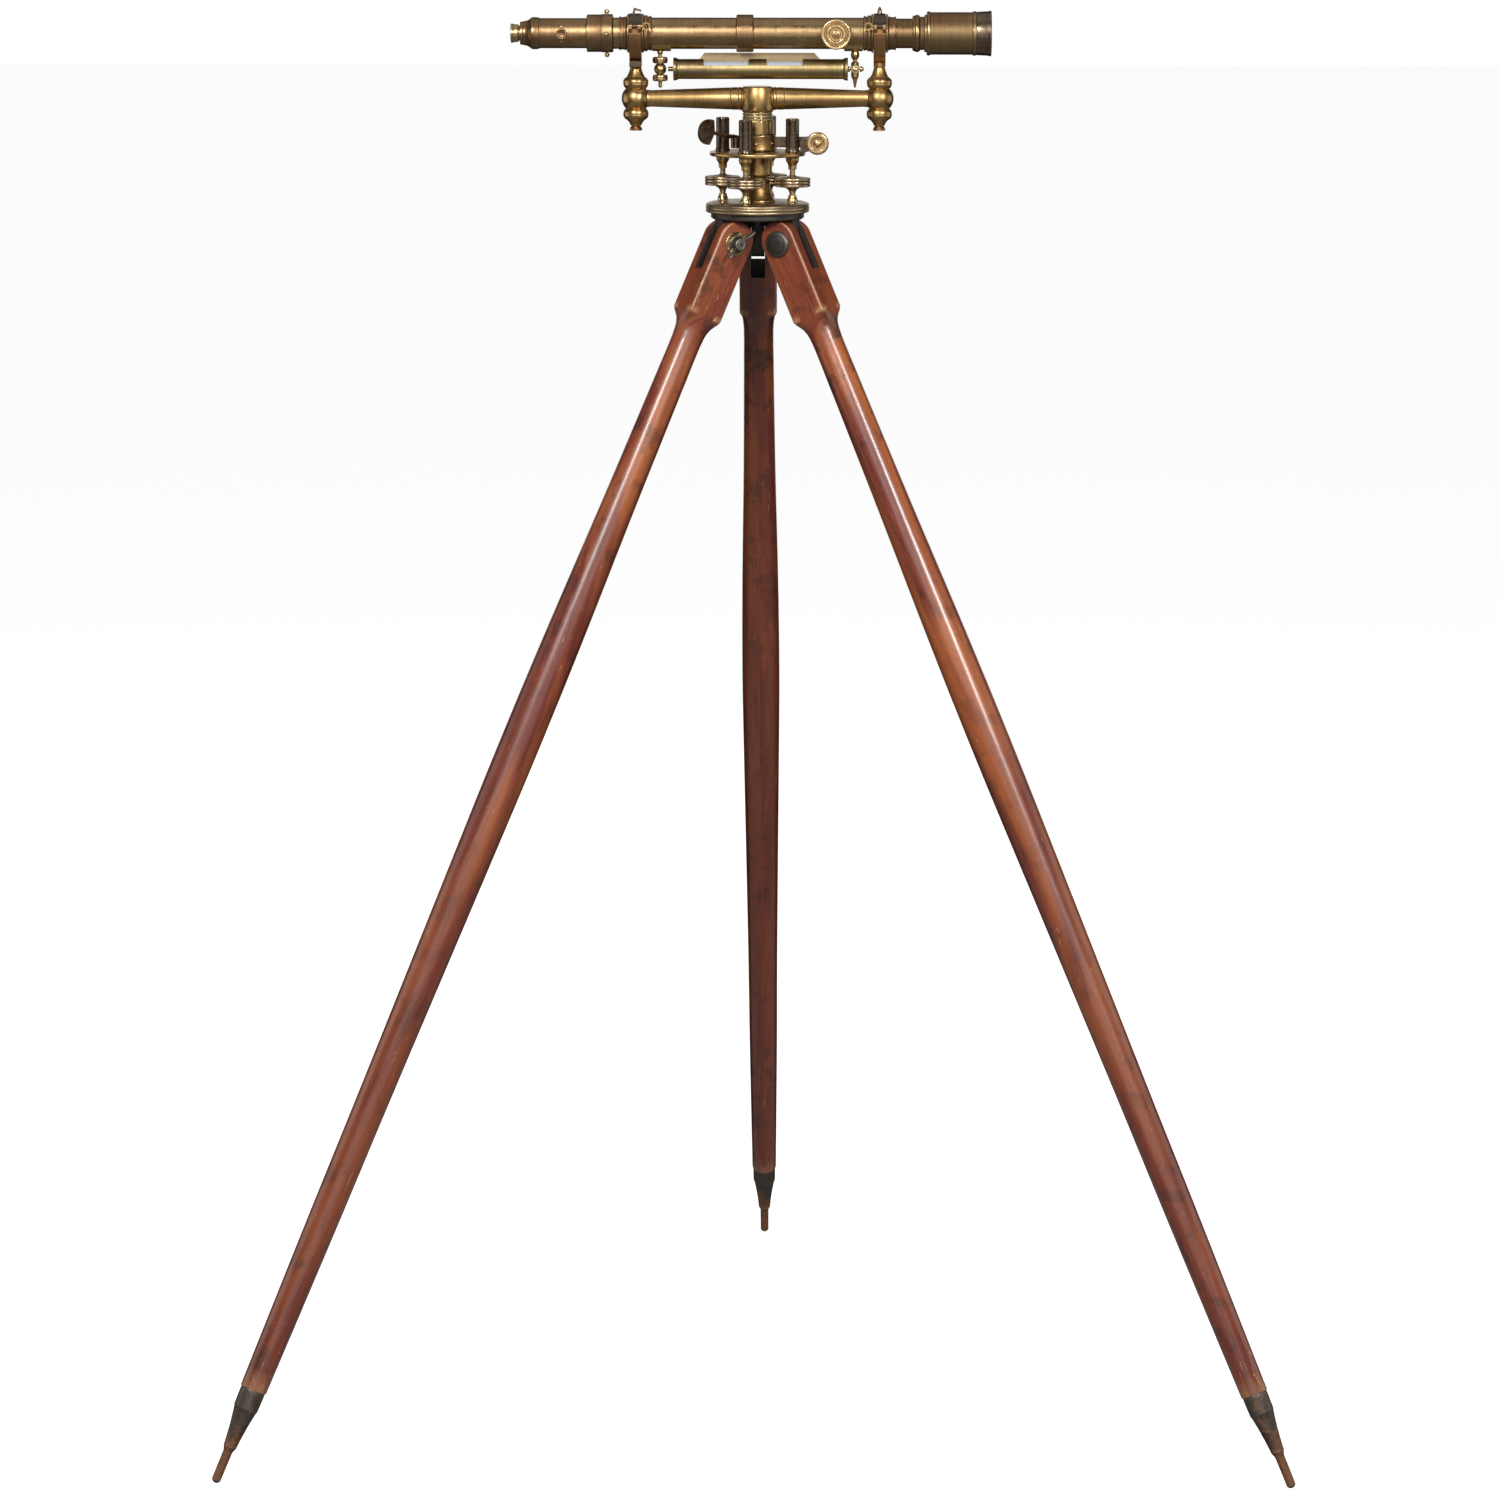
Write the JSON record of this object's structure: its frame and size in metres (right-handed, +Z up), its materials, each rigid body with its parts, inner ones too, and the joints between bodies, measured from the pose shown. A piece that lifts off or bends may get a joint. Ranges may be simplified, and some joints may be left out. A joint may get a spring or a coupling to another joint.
{
  "type": "wye level on wooden tripod",
  "caption": "antique brass surveyor's wye level: telescope in hinged clips on a level bar with a spirit vial below, screw levelling head, solid round wooden tripod legs with iron shoes",
  "frame": {"origin": "on the ground, at the middle of the bounding box's base; the instrument's upright axis stands 173.9 mm towards -Y of it", "axes": "+Z up along the instrument's upright axis, +X along the telescope from eyepiece to objective, +Y towards the rear leg"},
  "size_m": [1.2114, 1.0504, 1.6237],
  "materials": {
    "leg_wood": "glossy varnished red-brown hardwood, chipped and worn pale at the edges",
    "shoe_iron": "dark grey-brown iron with rust towards the points",
    "head_iron": "dark iron, slightly rusty",
    "pale_brass": "dull pale olive brass",
    "bar_brass": "golden aged brass with brown patina",
    "bright_brass": "polished worn brass",
    "tube_brass": "brown and olive brass patina with reddish patches",
    "dark_bronze": "dark bronzed brass",
    "spindle_steel": "plain turned steel",
    "lens_glass": "clear optical glass",
    "vial_glass": "glass vial filled with spirit"
  },
  "bodies": {
    "root": {"tripod_head": "head_iron", "leg_bolts": "head_iron", "leg_washers": "pale_brass", "base_plate": "pale_brass", "ball_housing": "pale_brass"},
    "leg_rear": {"leg_rear": "leg_wood", "leg_shoe_rear": "shoe_iron"},
    "wing_nut_rear": {"wing_nut_rear": "head_iron"},
    "leg_left": {"leg_left": "leg_wood", "leg_shoe_left": "shoe_iron"},
    "wing_nut_left": {"wing_nut_left": "head_iron"},
    "leg_right": {"leg_right": "leg_wood", "leg_shoe_right": "shoe_iron"},
    "wing_nut_right": {"wing_nut_right": "head_iron"},
    "centre_ball": {"centre_ball": "bar_brass"},
    "levelling_plate": {"levelling_plate": "pale_brass", "dust_caps": "dark_bronze", "tangent_block": "dark_bronze"},
    "foot_cup_1": {"foot_cup_1": "bright_brass"},
    "levelling_screw_1": {"levelling_screw_1": "bright_brass"},
    "foot_cup_2": {"foot_cup_2": "bright_brass"},
    "levelling_screw_2": {"levelling_screw_2": "bright_brass"},
    "foot_cup_3": {"foot_cup_3": "bright_brass"},
    "levelling_screw_3": {"levelling_screw_3": "bright_brass"},
    "foot_cup_4": {"foot_cup_4": "bright_brass"},
    "levelling_screw_4": {"levelling_screw_4": "bright_brass"},
    "clamp_collar": {"clamp_collar": "bar_brass"},
    "clamp_screw": {"clamp_screw": "dark_bronze"},
    "tangent_screw": {"tangent_screw": "bright_brass"},
    "level_bar": {"level_bar": "bar_brass", "spindle": "spindle_steel", "wye_left": "bar_brass", "wye_right": "bar_brass", "wye_nuts": "bar_brass"},
    "telescope": {"main_tube": "tube_brass", "wye_collars": "tube_brass", "centre_band": "tube_brass", "reticle_ring": "tube_brass", "reticle_screws": "bright_brass", "eyepiece_housing": "tube_brass", "pinion_housing": "tube_brass", "vial_case": "bright_brass", "vial_glass": "vial_glass", "vial_reflector": "pale_brass", "vial_post_left": "bright_brass", "vial_post_right": "bright_brass", "vial_nuts": "bright_brass"},
    "objective": {"objective_slide": "tube_brass", "objective_cell": "tube_brass", "objective_lens": "lens_glass"},
    "focus_knob": {"focus_knob": "bright_brass"},
    "sunshade": {"sunshade": "tube_brass"},
    "eyepiece": {"eyepiece_tube": "bright_brass", "eye_lens": "lens_glass"},
    "clip_left": {"clip_left": "dark_bronze"},
    "clip_pin_left": {"clip_pin_left": "dark_bronze"},
    "clip_right": {"clip_right": "dark_bronze"},
    "clip_pin_right": {"clip_pin_right": "dark_bronze"}
  },
  "joints": [
    {"name": "leg_hinge_rear", "type": "hinge", "parent": "root", "child": "leg_rear", "pos_m": [0, -0.1339, 1.36], "axis": [-1, 0, 0], "range_deg": [-6, 26]},
    {"name": "wing_nut_turn_rear", "type": "hinge", "parent": "root", "child": "wing_nut_rear", "pos_m": [0, -0.1339, 1.36], "axis": [-1, 0, 0], "continuous": true},
    {"name": "leg_hinge_left", "type": "hinge", "parent": "root", "child": "leg_left", "pos_m": [-0.03464, -0.1939, 1.36], "axis": [0.5, -0.866, 0], "range_deg": [-6, 26]},
    {"name": "wing_nut_turn_left", "type": "hinge", "parent": "root", "child": "wing_nut_left", "pos_m": [-0.03464, -0.1939, 1.36], "axis": [0.5, -0.866, 0], "continuous": true},
    {"name": "leg_hinge_right", "type": "hinge", "parent": "root", "child": "leg_right", "pos_m": [0.03464, -0.1939, 1.36], "axis": [0.5, 0.866, 0], "range_deg": [-6, 26]},
    {"name": "wing_nut_turn_right", "type": "hinge", "parent": "root", "child": "wing_nut_right", "pos_m": [0.03464, -0.1939, 1.36], "axis": [0.5, 0.866, 0], "continuous": true},
    {"name": "tilt_across", "type": "hinge", "parent": "root", "child": "centre_ball", "pos_m": [0, -0.1739, 1.4186], "axis": [0.3112, 0.9504, 0], "range_deg": [-3, 3]},
    {"name": "tilt_along", "type": "hinge", "parent": "centre_ball", "child": "levelling_plate", "pos_m": [0, -0.1739, 1.4186], "axis": [0.9504, -0.3112, 0], "range_deg": [-3, 3]},
    {"name": "foot_cup_slide_1", "type": "slide", "parent": "levelling_plate", "child": "foot_cup_1", "axis": [0, 0, 1], "range_m": [-0.0023, 0.0023]},
    {"name": "levelling_screw_turn_1", "type": "hinge", "parent": "foot_cup_1", "child": "levelling_screw_1", "pos_m": [-0.01298, -0.21353, 1.43], "axis": [0, 0, 1], "range_deg": [-990, 990]},
    {"name": "foot_cup_slide_2", "type": "slide", "parent": "levelling_plate", "child": "foot_cup_2", "axis": [0, 0, 1], "range_m": [-0.0023, 0.0023]},
    {"name": "levelling_screw_turn_2", "type": "hinge", "parent": "foot_cup_2", "child": "levelling_screw_2", "pos_m": [0.03963, -0.18688, 1.43], "axis": [0, 0, 1], "range_deg": [-990, 990]},
    {"name": "foot_cup_slide_3", "type": "slide", "parent": "levelling_plate", "child": "foot_cup_3", "axis": [0, 0, 1], "range_m": [-0.0023, 0.0023]},
    {"name": "levelling_screw_turn_3", "type": "hinge", "parent": "foot_cup_3", "child": "levelling_screw_3", "pos_m": [0.01298, -0.13427, 1.43], "axis": [0, 0, 1], "range_deg": [-990, 990]},
    {"name": "foot_cup_slide_4", "type": "slide", "parent": "levelling_plate", "child": "foot_cup_4", "axis": [0, 0, 1], "range_m": [-0.0023, 0.0023]},
    {"name": "levelling_screw_turn_4", "type": "hinge", "parent": "foot_cup_4", "child": "levelling_screw_4", "pos_m": [-0.03963, -0.16092, 1.43], "axis": [0, 0, 1], "range_deg": [-990, 990]},
    {"name": "tangent_swing", "type": "hinge", "parent": "levelling_plate", "child": "clamp_collar", "pos_m": [0, -0.1739, 1.472], "axis": [0, 0, 1], "range_deg": [-2, 2]},
    {"name": "tangent_screw_turn", "type": "hinge", "parent": "levelling_plate", "child": "tangent_screw", "pos_m": [0.068, -0.1739, 1.472], "axis": [0, -1, 0], "range_deg": [-1100, 1100]},
    {"name": "clamp_screw_turn", "type": "hinge", "parent": "clamp_collar", "child": "clamp_screw", "pos_m": [0, -0.1739, 1.472], "axis": [-0.8725, -0.4421, 0.2079], "range_deg": [-180, 90]},
    {"name": "spindle_turn", "type": "hinge", "parent": "clamp_collar", "child": "level_bar", "pos_m": [0, -0.1739, 1.521], "axis": [0, 0, 1], "continuous": true},
    {"name": "telescope_turn", "type": "hinge", "parent": "level_bar", "child": "telescope", "pos_m": [0, -0.1739, 1.594], "axis": [1, 0, 0], "continuous": true},
    {"name": "focus_slide", "type": "slide", "parent": "telescope", "child": "objective", "axis": [1, 0, 0], "range_m": [-0.008, 0.025]},
    {"name": "focus_knob_turn", "type": "hinge", "parent": "telescope", "child": "focus_knob", "pos_m": [0.0885, -0.1739, 1.594], "axis": [0, -1, 0], "range_deg": [-144, 448]},
    {"name": "sunshade_slide", "type": "slide", "parent": "objective", "child": "sunshade", "axis": [1, 0, 0], "range_m": [0, 0.022]},
    {"name": "eyepiece_slide", "type": "slide", "parent": "telescope", "child": "eyepiece", "axis": [-1, 0, 0], "range_m": [-0.001, 0.012]},
    {"name": "clip_hinge_left", "type": "hinge", "parent": "level_bar", "child": "clip_left", "pos_m": [-0.1376, -0.1469, 1.603], "axis": [-1, 0, 0], "range_deg": [0, 130]},
    {"name": "clip_pin_slide_left", "type": "slide", "parent": "clip_left", "child": "clip_pin_left", "axis": [1, 0, 0], "range_m": [0, 0.012]},
    {"name": "clip_hinge_right", "type": "hinge", "parent": "level_bar", "child": "clip_right", "pos_m": [0.1376, -0.1469, 1.603], "axis": [-1, 0, 0], "range_deg": [0, 130]},
    {"name": "clip_pin_slide_right", "type": "slide", "parent": "clip_right", "child": "clip_pin_right", "axis": [-1, 0, 0], "range_m": [0, 0.012]}
  ],
  "couplings": [
    {"joint": "foot_cup_slide_1", "follows": "tilt_along", "m_per_rad": 0.0417},
    {"joint": "levelling_screw_turn_1", "follows": "tilt_along", "ratio": 327.51},
    {"joint": "foot_cup_slide_2", "follows": "tilt_across", "m_per_rad": 0.0417},
    {"joint": "levelling_screw_turn_2", "follows": "tilt_across", "ratio": 327.51},
    {"joint": "foot_cup_slide_3", "follows": "tilt_along", "m_per_rad": -0.0417},
    {"joint": "levelling_screw_turn_3", "follows": "tilt_along", "ratio": -327.51},
    {"joint": "foot_cup_slide_4", "follows": "tilt_across", "m_per_rad": -0.0417},
    {"joint": "levelling_screw_turn_4", "follows": "tilt_across", "ratio": -327.51},
    {"joint": "tangent_screw_turn", "follows": "tangent_swing", "ratio": 534.07},
    {"joint": "focus_knob_turn", "follows": "focus_slide", "rad_per_m": 312.5}
  ]
}
